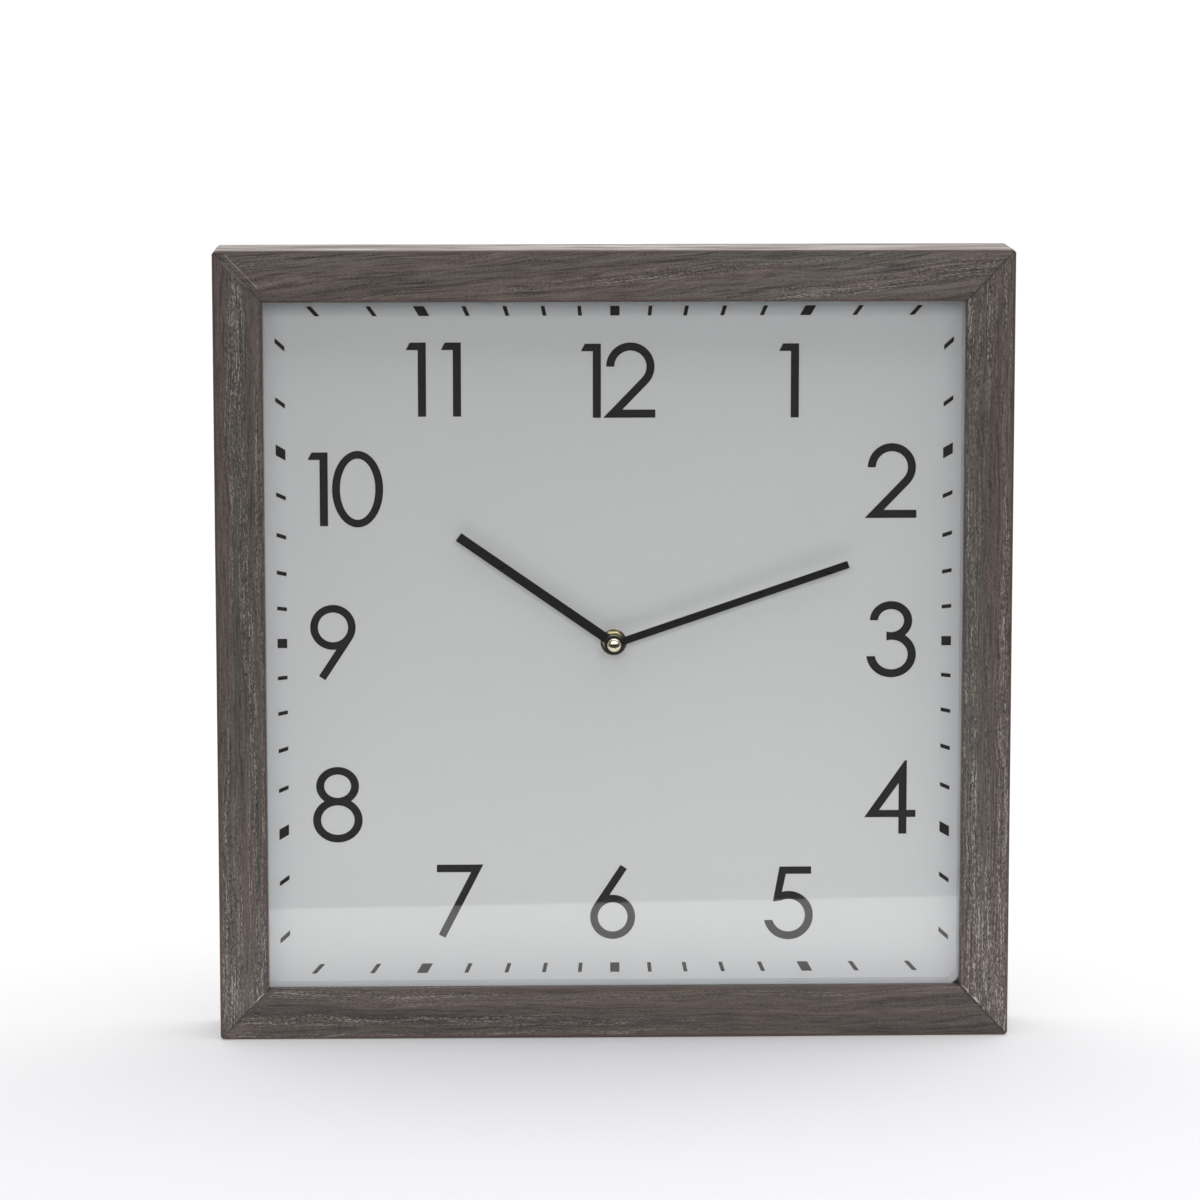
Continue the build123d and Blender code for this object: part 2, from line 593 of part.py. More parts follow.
def make_minute_body():
    bore = SECONDS_SHAFT + 2 * RUNNING
    shaft = plate(ring(MINUTE_SHAFT, bore), BOSS_NEAR, CASE_FRONT + 5.4)
    shaft += plate(ring(MINUTE_SHAFT - 0.6, bore), SHAFT_TIP, BOSS_NEAR)
    cannon = gear(CANNON_PINION, MINUTE_MODULE, AXIS, gap_towards(CANNON_PINION, MINUTE_WHEEL_LINE))
    shaft += inside(cannon - disc(bore), 3.8, 5.2)
    shaft += inside(ring(4.0, bore), 5.1, 5.5)
    shaft += inside(ring(MINUTE_SHAFT - 0.4, bore), 5.4, 6.8)
    shaft += inside(ring(4.0, bore), 6.7, 7.1)
    node("minute_arbor", shaft)
    node("clutch_spring", inside(ring(6.0, MINUTE_SHAFT - 0.4), 5.5, 5.8))
    minute_hand = hand(MINUTE_LENGTH, MINUTE_WIDTH, MINUTE_AT, MINUTE_HAND_NEAR, MINUTE_SHAFT, 5.6, 1.0)
    node("minute_hand", minute_hand + plate(ring(HUB, MINUTE_SHAFT), BOSS_NEAR, MINUTE_HAND_NEAR))

    cap_radius = CAP[0] / 2
    rim = CAP[1]
    dome_height = BOSS_NEAR - CAP_TIP - rim
    dome = scale(Sphere(cap_radius), by=(1, 1, dome_height / cap_radius))
    upright = Cylinder(cap_radius, rim, align=(Align.CENTER, Align.CENTER, Align.MAX))
    below = Box(20, 20, 20, align=(Align.CENTER, Align.CENTER, Align.MAX))
    cap = (dome - below) + upright
    seat = Plane(origin=(0, FRONT_Y + BOSS_NEAR - rim, CENTRE_Z), x_dir=(1, 0, 0), z_dir=(0, -1, 0))
    cap = seat * cap
    cap -= plate(disc(MINUTE_SHAFT - 0.6), SHAFT_TIP, BOSS_NEAR + 1)
    node("cap_nut", cap)


def make_motion_wheels():
    """The minute wheel that takes the minute shaft's turn to the hour wheel, and the setting knob."""
    line_back = MINUTE_WHEEL_LINE + 180
    bore = disc(ARBOR + 2 * RUNNING, MINUTE_WHEEL_AXIS)
    minute_phase = line_back
    wheel = inside(gear(MINUTE_TEETH, MINUTE_MODULE, MINUTE_WHEEL_AXIS, minute_phase) - bore, 4.1, 4.9)
    pinion_phase = gap_towards(HOUR_PINION, line_back)
    wheel += inside(gear(HOUR_PINION, HOUR_MODULE, MINUTE_WHEEL_AXIS, pinion_phase) - bore, 2.2, 4.2)
    node("minute_wheel", wheel)

    knob_phase = meshing(KNOB_PINION, MINUTE_TEETH, minute_phase, KNOB_LINE)
    knob = inside(gear(KNOB_PINION, MINUTE_MODULE, KNOB_AXIS, knob_phase), 3.9, 5.1)
    knob += inside(disc(PIVOT, KNOB_AXIS), WALL - PIVOT_END, 4.0)
    knob += inside(disc(POST, KNOB_AXIS), 5.0, CASE_DEPTH + 0.5)
    knob += inside(knob_grip(), CASE_DEPTH + 0.4, CASE_DEPTH + 2.4)
    node("setting_knob", knob)


def knob_grip():
    """A round grip with shallow flutes round its edge."""
    grip = disc(10.0, KNOB_AXIS)
    flutes = 16
    for k in range(flutes):
        grip -= disc(1.0, away(KNOB_AXIS, 5.2, 360 * k / flutes))
    return grip


def make_train():
    """The going train, from the step motor's rotor to the centre wheel."""
    centre_phase = THIRD_LINE
    bore = disc(MINUTE_SHAFT - 0.4 + 2 * RUNNING)
    centre = inside(gear(CENTRE_TEETH, CENTRE_MODULE, AXIS, centre_phase) - bore, 5.9, 6.6)
    node("centre_wheel", centre)

    back = THIRD_LINE + 180
    third = inside(gear(THIRD_PINION, CENTRE_MODULE, THIRD_AXIS, gap_towards(THIRD_PINION, back)), 5.7, 7.0)
    third += inside(gear(THIRD_TEETH, THIRD_MODULE, THIRD_AXIS, back), 9.2, 9.8)
    third += arbor(THIRD_AXIS, WALL, COVER_INSIDE)
    node("third_wheel", third)

    pinion_phase = gap_towards(SECONDS_PINION, THIRD_LINE)
    seconds = inside(gear(SECONDS_PINION, THIRD_MODULE, AXIS, pinion_phase), 8.8, 10.1)
    seconds += inside(gear(SECONDS_TEETH, SECONDS_MODULE, AXIS, FIFTH_LINE), 10.5, 11.1)
    seconds += inside(disc(ARBOR), 10.0, COVER_INSIDE - 0.2)
    seconds += plate(disc(SECONDS_SHAFT), SHAFT_TIP + 1, CASE_FRONT + COVER_INSIDE + PIVOT_END)
    node("seconds_wheel", seconds)

    back = FIFTH_LINE + 180
    fifth = inside(gear(FIFTH_PINION, SECONDS_MODULE, FIFTH_AXIS, gap_towards(FIFTH_PINION, back)), 10.2, 11.4)
    fifth += inside(gear(FIFTH_TEETH, FIFTH_MODULE, FIFTH_AXIS, ROTOR_LINE), 11.8, 12.4)
    fifth += arbor(FIFTH_AXIS, MIDDLE_FAR, COVER_INSIDE)
    node("fifth_wheel", fifth)

    back = ROTOR_LINE + 180
    rotor = inside(gear(ROTOR_PINION, FIFTH_MODULE, ROTOR_AXIS, gap_towards(ROTOR_PINION, back)), 11.6, 12.7)
    rotor += arbor(ROTOR_AXIS, MIDDLE_FAR, COVER_INSIDE)
    node("rotor_shaft", rotor)
    node("rotor_magnet", inside(ring(6.4, ARBOR, ROTOR_AXIS), 13.1, 15.1))


def arbor(at, near, far):
    """A wheel's shaft between two plates, with a thinner pivot in each."""
    shaft = inside(disc(ARBOR, at), near + 0.2, far - 0.2)
    return shaft + inside(disc(PIVOT, at), near - PIVOT_END, far + PIVOT_END)


def make_motor():
    """Coil and stator of the step motor, and the screws that clamp them to the case."""
    half = 16.0
    holes = disc(SCREW, COIL_POSTS[0]) + disc(SCREW, COIL_POSTS[1])
    core = block(-half, half, COIL_Z - 1.6, COIL_Z + 1.6) - holes
    node("coil_core", inside(core, CORE_NEAR, CORE_FAR))
    stator = block(-half, half, 8.0, 16.6)
    stator += block(-half, -half + 4, 8.0, 22.6) + block(half - 4, half, 8.0, 22.6)
    stator -= holes + disc(7.2, ROTOR_AXIS) + disc(PIVOT + 1.4, FIFTH_AXIS)
    node("stator", inside(stator, CORE_FAR, STATOR_FAR))

    middle = Plane(origin=(0, FRONT_Y + CASE_FRONT + (CORE_NEAR + CORE_FAR) / 2, CENTRE_Z + COIL_Z),
                   x_dir=(0, 1, 0), z_dir=(1, 0, 0))
    slot = Rectangle(CORE_FAR - CORE_NEAR, 3.2)
    flange = RectangleRounded(6.4, 6.6, 1.0)
    tube = RectangleRounded(2.2, 4.6, 0.6)
    reel, rim = 10.0, 0.8
    bobbin = extrude(middle * (tube - slot), amount=reel, both=True)
    for side in (-reel, reel - rim):
        bobbin += extrude(middle * Pos(0, 0, side) * (flange - slot), amount=rim)
    node("coil_bobbin", bobbin)
    winding = RectangleRounded(5.6, 6.0, 1.2) - tube
    node("coil_winding", extrude(middle * winding, amount=reel - rim, both=True))

    screws = []
    for at in COIL_POSTS:
        head = inside(disc(3.0, at) - Pos(*at) * Rectangle(3.2, 0.5), STATOR_FAR + 0.5, STATOR_FAR + 1.0)
        head += inside(disc(3.0, at), STATOR_FAR, STATOR_FAR + 0.5)
        screws.append(head + inside(disc(SCREW, at), CORE_NEAR - 4, STATOR_FAR + 0.1))
    node("coil_screws", *screws)


BOARD_LOW, BOARD_HIGH = -5.0, 21.0
BOARD_LEFT, BOARD_RIGHT = -26.6, -19.6
PCB_NEAR, PCB_FAR = 3.6, 4.4


def make_circuit():
    board = block(BOARD_LEFT, BOARD_RIGHT, BOARD_LOW, BOARD_HIGH)
    node("circuit_board", inside(board, PCB_NEAR, PCB_FAR))
    middle = (BOARD_LEFT + BOARD_RIGHT) / 2
    blob_front = FRONT_Y + CASE_FRONT + PCB_FAR
    blob = Plane(origin=(middle, blob_front, CENTRE_Z + 3), x_dir=(1, 0, 0), z_dir=(0, 1, 0))
    dome = scale(Sphere(2.6), by=(1, 1, 0.45)) - Box(9, 9, 9, align=(Align.CENTER, Align.CENTER, Align.MAX))
    node("chip_blob", blob * dome)
    can = Plane(origin=(middle, FRONT_Y + CASE_FRONT + PCB_FAR + 1.0, CENTRE_Z + 9), x_dir=(1, 0, 0),
                z_dir=(0, 0, 1))
    node("quartz_crystal", extrude(can * Circle(1.0), amount=6.0))


BATTERY_DIAMETER = 14.5
BATTERY_BODY = 49.2
BATTERY_LENGTH = 50.5
BATTERY_Y = 9.6           # behind the front of the case
BATTERY_Z = (PARTITION_BOTTOM - INNER) / 2
CONTACT = 0.4


def make_battery():
    start = -BATTERY_LENGTH / 2
    along = Plane(origin=(start, FRONT_Y + CASE_FRONT + BATTERY_Y, CENTRE_Z + BATTERY_Z), x_dir=(0, 1, 0),
                  z_dir=(1, 0, 0))
    body = extrude(along * Circle(BATTERY_DIAMETER / 2), amount=BATTERY_BODY)
    rims = [e for e in body.edges() if e.geom_type == GeomType.CIRCLE]
    body = fillet(rims, 0.8)
    body += extrude(along * Circle(2.75), amount=BATTERY_LENGTH)
    node("battery", body)

    end = BATTERY_LENGTH / 2
    low, high = BATTERY_Z - 5, BATTERY_Z + 5
    # Minus side, on the left: a wall plate, a bent leaf, and a tail up to the circuit board.
    minus = inside(block(-INNER, -INNER + CONTACT, low, PARTITION_TOP + 0.4), 3.4, 5.8)
    minus += inside(block(-INNER, -INNER + CONTACT, low, high), 3.4, 15.0)
    leaf = polygon((-INNER + 0.1, high), (-INNER + CONTACT, high), (-end, BATTERY_Z), (-INNER + CONTACT, low),
                   (-INNER + 0.1, low), (-end - CONTACT, BATTERY_Z))
    minus += inside(leaf, 6.6, 12.6)
    minus += inside(block(-INNER, -INNER + CONTACT, PARTITION_TOP, BOARD_LOW + 1), 3.4, PCB_NEAR)
    minus += inside(block(-INNER, -23.4, BOARD_LOW - 1, BOARD_LOW + 1), PCB_NEAR - CONTACT / 2, PCB_NEAR)
    node("battery_contact_minus", minus)
    # Plus side, on the right: a wall plate with a dimple, and a strip back along the partition.
    plus = inside(block(INNER - CONTACT, INNER, low, PARTITION_TOP + 0.4), 3.4, 5.8)
    plus += inside(block(INNER - CONTACT, INNER, low, high), 3.4, 15.0)
    dimple = Plane(origin=(end, FRONT_Y + CASE_FRONT + BATTERY_Y, CENTRE_Z + BATTERY_Z), x_dir=(0, 1, 0),
                   z_dir=(1, 0, 0))
    plus += extrude(dimple * Circle(2.0), amount=INNER - CONTACT / 2 - end)
    plus += inside(block(-22.0, INNER, PARTITION_TOP, PARTITION_TOP + CONTACT), 3.4, 5.2)
    plus += inside(block(-22.0, -20.0, PARTITION_TOP, BOARD_LOW + 1), PCB_NEAR - CONTACT / 2, PCB_NEAR)
    node("battery_contact_plus", plus)


make_frame()
make_hanger()
make_glass_and_dial()
make_print()
make_case()
make_middle_plate()
make_mounting()
make_hour_body()
make_minute_body()
make_motion_wheels()
make_train()
make_motor()
make_circuit()
make_battery()

for name, shape in nodes.items():
    export_step(shape, f"parts/{name}.step")
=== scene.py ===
import json
from math import tau

import bpy
from mathutils import Matrix, Vector


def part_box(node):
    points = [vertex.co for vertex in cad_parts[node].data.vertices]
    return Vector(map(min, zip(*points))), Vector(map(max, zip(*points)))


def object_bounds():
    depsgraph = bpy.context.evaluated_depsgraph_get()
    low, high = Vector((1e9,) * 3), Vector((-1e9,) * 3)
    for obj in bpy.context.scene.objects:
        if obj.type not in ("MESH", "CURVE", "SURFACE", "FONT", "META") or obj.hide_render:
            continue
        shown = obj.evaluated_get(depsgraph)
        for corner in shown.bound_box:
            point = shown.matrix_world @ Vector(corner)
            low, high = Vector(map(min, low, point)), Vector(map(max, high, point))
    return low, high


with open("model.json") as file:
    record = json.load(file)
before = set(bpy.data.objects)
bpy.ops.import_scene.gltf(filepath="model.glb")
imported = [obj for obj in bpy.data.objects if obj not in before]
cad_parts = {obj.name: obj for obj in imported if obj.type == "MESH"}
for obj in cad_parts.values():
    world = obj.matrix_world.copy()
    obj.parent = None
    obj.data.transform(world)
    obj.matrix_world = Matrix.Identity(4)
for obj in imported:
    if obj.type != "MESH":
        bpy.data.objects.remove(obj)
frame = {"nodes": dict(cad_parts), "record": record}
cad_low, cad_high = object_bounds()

nodes = frame["nodes"]
cap_low, cap_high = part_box("cap_nut")
AXIS_X = (cap_low.x + cap_high.x) / 2  # the hands' axis
AXIS_Z = (cap_low.z + cap_high.z) / 2
HALF = (cad_high.x - cad_low.x) / 2
MIDDLE_Z = (cad_high.z + cad_low.z) / 2
FRONT_Y = cad_low.y
MM = 0.001


def lin(value):
    """One 0 to 255 screen value as linear light."""
    value /= 255
    return value / 12.92 if value <= 0.04045 else ((value + 0.055) / 1.055) ** 2.4


def tone(red, green, blue):
    """A screen colour, 0 to 255 each, as a linear colour."""
    return (lin(red), lin(green), lin(blue), 1)


class Look:
    """A material, built node by node."""

    def __init__(self, name):
        self.material = bpy.data.materials.new(name)
        self.material.use_nodes = True
        self.tree = self.material.node_tree
        self.tree.nodes.clear()
        self.place = self.add("TexCoord").outputs["Object"]

    def add(self, kind, sockets=None, **settings):
        """A new node. sockets holds its inputs by name or number, as values or as other nodes' outputs."""
        made = self.tree.nodes.new("ShaderNode" + kind)
        for key, value in settings.items():
            setattr(made, key, value)
        for key, value in (sockets or {}).items():
            self.put(made, key, value)
        return made

    def put(self, made, key, value):
        if isinstance(value, bpy.types.NodeSocket):
            self.tree.links.new(value, made.inputs[key])
        else:
            made.inputs[key].default_value = value

    def math(self, operation, a, b=0.0):
        return self.add("Math", {0: a, 1: b}, operation=operation).outputs[0]

    def plus(self, a, b):
        return self.math("ADD", a, b)

    def minus(self, a, b):
        return self.math("SUBTRACT", a, b)

    def times(self, a, b):
        return self.math("MULTIPLY", a, b)

    def size(self, a):
        """a without its sign."""
        return self.math("ABSOLUTE", a)

    def step(self, value, low, high):
        """0 at low, 1 at high, smooth between them."""
        sockets = {0: value, 1: low, 2: high, 3: 0.0, 4: 1.0}
        return self.add("MapRange", sockets, interpolation_type="SMOOTHSTEP").outputs[0]

    def between(self, value, low, high, soft):
        """1 from low to high and 0 outside, with soft ends."""
        return self.times(self.step(value, low - soft, low), self.step(value, high + soft, high))

    def span(self, value, low, high):
        """A 0 to 1 value spread from low to high."""
        return self.add("MapRange", {0: value, 1: 0.0, 2: 1.0, 3: low, 4: high}).outputs[0]

    def parts(self):
        """The x, y and z of each point."""
        return self.add("SeparateXYZ", {0: self.place}).outputs[:3]

    def joined(self, x, y, z):
        return self.add("CombineXYZ", {0: x, 1: y, 2: z}).outputs[0]

    def noise(self, scale, detail=2.0, rough=0.5, vector=None, shift=(0, 0, 0)):
        """Cloudy noise from 0 to 1. scale is in cells to a metre, one number or one for each axis.

        detail is how many finer layers it has, rough how strong they are, and shift moves it to another
        piece of the same noise."""
        scale = scale if isinstance(scale, tuple) else (scale,) * 3
        place = self.place if vector is None else vector
        moved = self.add("Mapping", {"Vector": place, "Scale": scale, "Location": shift}).outputs[0]
        sockets = {"Vector": moved, "Scale": 1.0, "Detail": detail, "Roughness": rough}
        return self.add("TexNoise", sockets).outputs[0]

    def mix(self, share, a, b):
        """Colour a with share of colour b laid over it."""
        return self.add("Mix", {0: share, 6: a, 7: b}, data_type="RGBA").outputs[2]

    def lit(self, colour, amount):
        """colour made lighter or darker by amount, where 1 leaves it as it is."""
        return self.add("HueSaturation", {"Value": amount, "Color": colour}).outputs[0]

    def swing(self, value, amount):
        """A 0 to 1 noise turned into a change of tone about 0, amount from its lowest to its highest."""
        return self.times(self.minus(value, 0.5), amount)

    def surface(self, colour, rough, height, depth, **sockets):
        """Ends the material with one Principled shader. depth is the relief's full height in metres."""
        named = {"Base Color": colour, "Roughness": rough}
        named.update({key.replace("_", " "): value for key, value in sockets.items()})
        bump = self.add("Bump", {"Height": height, "Distance": depth, "Strength": 1.0})
        named["Normal"] = bump.outputs[0]
        self.show(self.add("BsdfPrincipled", named).outputs[0])

    def show(self, socket):
        out = self.add("OutputMaterial")
        self.tree.links.new(socket, out.inputs["Surface"])


# ---------------------------------------------------------------- wood

RED_BROWN = tone(95, 82, 77)
GREY_GREEN = tone(88, 83, 77)
DARK_GRAIN = tone(52, 46, 43)
PALE_GRAIN = tone(192, 183, 176)
BARE_SIDE = tone(100, 80, 71)
# a painted highlight: the pale pink sheen of the top face
PINK_SHEEN = tone(156, 140, 131)
# red stain, and along the outer arrises also a painted edge shadow
RED_STAIN_AND_SHADE = tone(74, 54, 46)
JOINT_DARK = tone(34, 30, 28)
JOINT_PALE = tone(186, 180, 172)

rail_low, rail_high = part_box("frame_rail_top")
stile_low, stile_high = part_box("frame_stile_left")
RAIL_WIDTH = rail_high.z - rail_low.z
STILE_WIDTH = stile_high.x - stile_low.x

LOW, HIGH = 0, 1         # a bar's left or bottom end, and its right or top end
GRAIN_DRIFT = 12 * MM    # how far the grain leans this way and that along a bar
GRAIN_WIGGLE = 0.6 * MM  # and its small waves
GRAIN_RELIEF = 0.12 * MM
SMOKE_REACH = 4 * MM     # the darkening on both sides of a mitre
MITRE_LINE = 0.32 * MM   # half the width of the dark line in a mitre
STAIN_AND_SHADE_REACH = 1.9 * MM   # how far the red stain and the painted edge shadow reach in from an arris
DARKEST = 0.2            # the wood's tone never falls below this share of its colour
SMOOTHEST = 0.2          # nor its roughness below this


def wood(name, upright, seed, tilt, limed, limed_end, red, tone_and_shade, broad, marks):
    """Grey-brown wood under a thin wash. The grain runs along the bar, and each bar has its own piece of it.

    tilt is the slope of the grain across the bar, limed is how much pale filler lies in it, with limed_end
    more towards its low end, red how far it leans to red-brown, tone_and_shade the bar's tone, which also
    paints in shade bar by bar, darkest on the bottom rail and lightest on the top rail, and broad the
    strength of its wide stripes. marks are the lines beside the mitres, in millimetres: (end, distance from
    the mitre, from, to, half width, strength), with from and to measured along the bar from its middle. A
    strength above
    0 is pale and one below 0 is dark."""
    look = Look(name)
    x, y, z = look.parts()
    z = look.minus(z, MIDDLE_Z)
    run, cross = (z, x) if upright else (x, z)
    bar = look.joined(run, cross, y)
    shift = (seed * 3.1, seed * 7.7, seed * 1.9)
    wander = look.minus(look.noise((11, 34, 34), 2.0, vector=bar, shift=shift), 0.5)
    wiggle = look.minus(look.noise((90, 120, 120), 1.0, vector=bar, shift=shift), 0.5)
    leaned = look.minus(cross, look.times(run, tilt))
    leaned = look.plus(leaned, look.plus(look.times(wander, GRAIN_DRIFT), look.times(wiggle, GRAIN_WIGGLE)))
    grain = look.joined(run, leaned, y)

    def layer(scale, detail, rough, extra):
        return look.noise(scale, detail, rough, grain, tuple(s + extra for s in shift))

    patches = layer((4, 75, 60), 2.0, 0.5, 0)
    zones = layer((3.5, 95, 70), 2.0, 0.5, 5)
    bands = layer((7, 330, 240), 2.0, 0.6, 11)
    fibres = layer((60, 1200, 900), 1.0, 0.6, 23)
    flecks = layer((700, 1500, 1000), 1.0, 0.6, 29)
    # open grain, filled with pale wax, in long narrow strips; between them the wood is close and smooth
    low_end = look.step(run, -60 * MM, -190 * MM)
    lower = look.plus(0.20 * limed, look.times(low_end, 0.20 * limed_end))
    chains = look.plus(layer((3.2, 135, 110), 2.0, 0.55, 57), lower)
    open_grain = look.step(chains, 0.56, 0.76)
    colour = look.mix(look.step(patches, 0.38 + red, 0.62 + red), RED_BROWN, GREY_GREEN)
    shade = look.plus(look.plus(1.0, look.swing(zones, broad)), look.swing(bands, 0.6 + 0.8 * broad))
    shade = look.plus(shade, look.swing(fibres, 1.8))
    shade = look.plus(shade, look.times(look.swing(flecks, 1.0), look.span(open_grain, 1.5, 2.8)))
    # the bar's grain tone, times one number that paints in shade for the whole bar
    colour = look.lit(colour, look.times(look.math("MAXIMUM", shade, DARKEST), tone_and_shade))
    # long dark pores
    pores = look.times(look.step(layer((34, 800, 600), 1.0, 0.6, 31), 0.40, 0.28), 0.8)
    colour = look.mix(pores, colour, DARK_GRAIN)
    # pale filler: dots and short dashes strung along thin lines
    threads = layer((40, 1600, 1100), 1.0, 0.5, 37)
    dots = layer((520, 2300, 1500), 2.0, 0.6, 43)
    dashes = look.step(look.plus(look.times(threads, 0.4), look.times(dots, 0.6)), 0.52, 0.62)
    filler = look.times(look.times(dashes, look.span(open_grain, 0.08, 1.0)), 0.40 + 0.28 * limed)
    colour = look.mix(filler, colour, PALE_GRAIN)
    # the outer sides are bare, with long painted highlight streaks: lighter and darker stretches and pale
    # pink ones that stand in for the sheen of the top face seen at a slant
    outside = look.step(look.size(cross), HALF - 1.0 * MM, HALF - 0.2 * MM)
    sheen_streaks = layer((15, 40, 105), 3.0, 0.6, 71)
    painted_sheen = layer((18, 60, 170), 3.0, 0.65, 83)
    painted_sheen = look.times(outside, look.step(painted_sheen, 0.50, 0.68))
    colour = look.mix(look.times(outside, 0.45), colour, BARE_SIDE)
    colour = look.lit(colour, look.plus(1.0, look.times(outside, look.swing(sheen_streaks, 2.5))))
    colour = look.mix(look.times(painted_sheen, 0.5), colour, PINK_SHEEN)
    dull = look.minus(look.times(outside, look.swing(sheen_streaks, -1.1)), look.times(painted_sheen, 0.12))

    # the mitre joints: off is the distance from the nearest one
    high_half = look.step(run, -10 * MM, 10 * MM)
    far = look.size(run)
    own, other = (STILE_WIDTH, RAIL_WIDTH) if upright else (RAIL_WIDTH, STILE_WIDTH)
    slant = (own ** 2 + other ** 2) ** 0.5
    off = look.minus(look.times(look.minus(HALF, far), own / slant),
                     look.times(look.minus(HALF, look.size(cross)), other / slant))
    off = look.size(off)
    ragged = look.minus(look.noise(900, 2.0, vector=bar), 0.5)
    smoke = look.times(look.step(look.plus(off, look.times(ragged, 6 * MM)), SMOKE_REACH, 0.0), 0.22)
    colour = look.mix(smoke, colour, DARK_GRAIN)
    line = look.step(look.plus(off, look.times(ragged, 0.4 * MM)), MITRE_LINE, MITRE_LINE / 4)
    colour = look.mix(look.times(line, 0.75), colour, JOINT_DARK)
    # the marks beside them, broken up unevenly
    broken = look.step(look.noise(330, 2.0, vector=bar, shift=shift), 0.40, 0.56)
    for end, *lengths, strength in marks:
        distance, start, stop, half_width = (length * MM for length in lengths)
        near = look.size(look.minus(look.plus(off, look.times(ragged, 0.6 * MM)), distance))
        mark = look.times(look.step(near, half_width * 1.5, half_width * 0.5), look.span(broken, 0.25, 1.0))
        along = look.plus(far, look.times(ragged, 2.5 * MM))
        mark = look.times(mark, look.between(along, start, stop, 1.0 * MM))
        mark = look.times(mark, high_half if end == HIGH else look.minus(1.0, high_half))
        mark = look.times(mark, abs(strength))
        colour = look.mix(mark, colour, JOINT_PALE if strength > 0 else JOINT_DARK)

    # the stain lies thick and red along the arrises; along the outer arrises, where it is stronger, it is
    # also a painted shadow, the dark line under the bottom rail's lower edge, put on every bar
    deep = look.minus(y, FRONT_Y)
    for distance, strength in ((look.minus(HALF, look.size(cross)), 0.75),
                               (look.minus(look.size(cross), HALF - own), 0.5)):
        edge = look.plus(look.plus(distance, deep), look.times(ragged, 1.2 * MM))
        colour = look.mix(look.times(look.step(edge, STAIN_AND_SHADE_REACH, 0.7 * MM), strength), colour, RED_STAIN_AND_SHADE)

    rough = look.plus(look.span(bands, 0.40, 0.60), look.times(filler, 0.15))
    rough = look.math("MAXIMUM", look.plus(rough, dull), SMOOTHEST)
    height = look.plus(look.times(fibres, 0.6), look.times(bands, 0.6))
    height = look.minus(height, look.times(pores, 0.6))
    height = look.minus(height, look.times(line, 1.5))
    look.surface(colour, rough, height, GRAIN_RELIEF, Specular_IOR_Level=0.5)
    return look.material


# ---------------------------------------------------------------- everything else

ROUGH_SPREAD = 0.08      # how far a finish's roughness varies either way


def plain(name, colour, rough, cloud, grain, depth, **sockets):
    """A moulded, painted or cast finish: slight clouds, a fine grain, and a roughness that varies.

    cloud is the strength of the clouds, grain is in grains to a metre and depth is their height."""
    look = Look(name)
    clouds = look.noise(60, 3.0, 0.6)
    fine = look.noise(grain, 2.0, 0.6)
    smears = look.noise((90, 90, 400), 3.0, 0.6, shift=(4, 9, 2))
    shade = look.plus(look.span(clouds, 1 - cloud, 1 + cloud), look.swing(fine, cloud))
    look.surface(look.lit(colour, shade), look.span(smears, rough - ROUGH_SPREAD, rough + ROUGH_SPREAD),
                 fine, depth, **sockets)
    return look.material


GLASS_IOR = 1.5
GLASS_TINT = (0.993, 0.996, 0.993, 1)


def glass(name):
    """Clear float glass. A face mirrors about 4% head on and more at a slant, and lets the rest through."""
    look = Look(name)
    leaving = look.add("NewGeometry").outputs["Backfacing"]
    ior = look.add("Mix", {0: leaving, 2: GLASS_IOR, 3: 1 / GLASS_IOR}).outputs[0]
    fresnel = look.add("Fresnel", {"IOR": ior}).outputs[0]
    smears = look.step(look.noise((14, 14, 26), 3.0, 0.6), 0.5, 0.75)
    mirror = look.add("BsdfAnisotropic", {"Color": (1, 1, 1, 1), "Roughness": look.span(smears, 0.0, 0.03)})
    clear = look.add("BsdfTransparent", {"Color": GLASS_TINT})
    both = look.add("MixShader", {0: fresnel, 1: clear.outputs[0], 2: mirror.outputs[0]})
    look.show(both.outputs[0])
    return look.material


def paper(name):
    """Silver-grey printed card with a fine tooth."""
    look = Look(name)
    clouds = look.noise(9, 2.0)
    tooth = look.noise(3200, 2.0, 0.7)
    fibre = look.noise((400, 400, 1500), 2.0, 0.6)
    shade = look.plus(look.span(clouds, 0.985, 1.015), look.swing(tooth, 0.05))
    shade = look.plus(shade, look.swing(fibre, 0.02))
    look.surface(look.lit(tone(224, 224, 226), shade), look.span(fibre, 0.5, 0.62), tooth, 0.006 * MM,
                 Specular_IOR_Level=0.35)
    return look.material


def ink(name):
    """Black printing ink, a little uneven."""
    look = Look(name)
    uneven = look.noise(220, 3.0, 0.6)
    tooth = look.noise(3000, 2.0, 0.7)
    colour = look.lit(tone(34, 34, 34), look.span(uneven, 0.85, 1.15))
    look.surface(colour, look.span(tooth, 0.42, 0.6), tooth, 0.005 * MM, Specular_IOR_Level=0.3)
    return look.material


RING_PITCH = 0.16 * MM


def turned(name, colour, rough, tarnish):
    """Metal off a lathe: fine rings around the hands' axis, and a light tarnish."""
    look = Look(name)
    x, _, z = look.parts()
    x, z = look.minus(x, AXIS_X), look.minus(z, AXIS_Z)
    radius = look.math("SQRT", look.plus(look.times(x, x), look.times(z, z)))
    rings = look.math("SINE", look.times(radius, tau / RING_PITCH))
    clouds = look.noise(350, 3.0, 0.6)
    tarnished = look.times(look.step(clouds, 0.42, 0.72), 0.55)
    look.surface(look.mix(tarnished, colour, tarnish), look.span(clouds, rough - 0.03, rough + 0.06),
                 rings, 0.0015 * MM, Metallic=1.0)
    return look.material


def metal(name, colour, rough, cloud=0.10):
    """Rolled or plated metal with faint brush lines, and clouds of the strength of cloud."""
    look = Look(name)
    lines = look.noise((300, 300, 1800), 3.0, 0.6)
    clouds = look.noise(160, 3.0, 0.6)
    shade = look.plus(look.span(clouds, 1 - cloud, 1 + cloud), look.swing(lines, 0.2))
    look.surface(look.lit(colour, shade), look.span(lines, rough - 0.08, rough + 0.12),
                 lines, 0.01 * MM, Metallic=1.0)
    return look.material


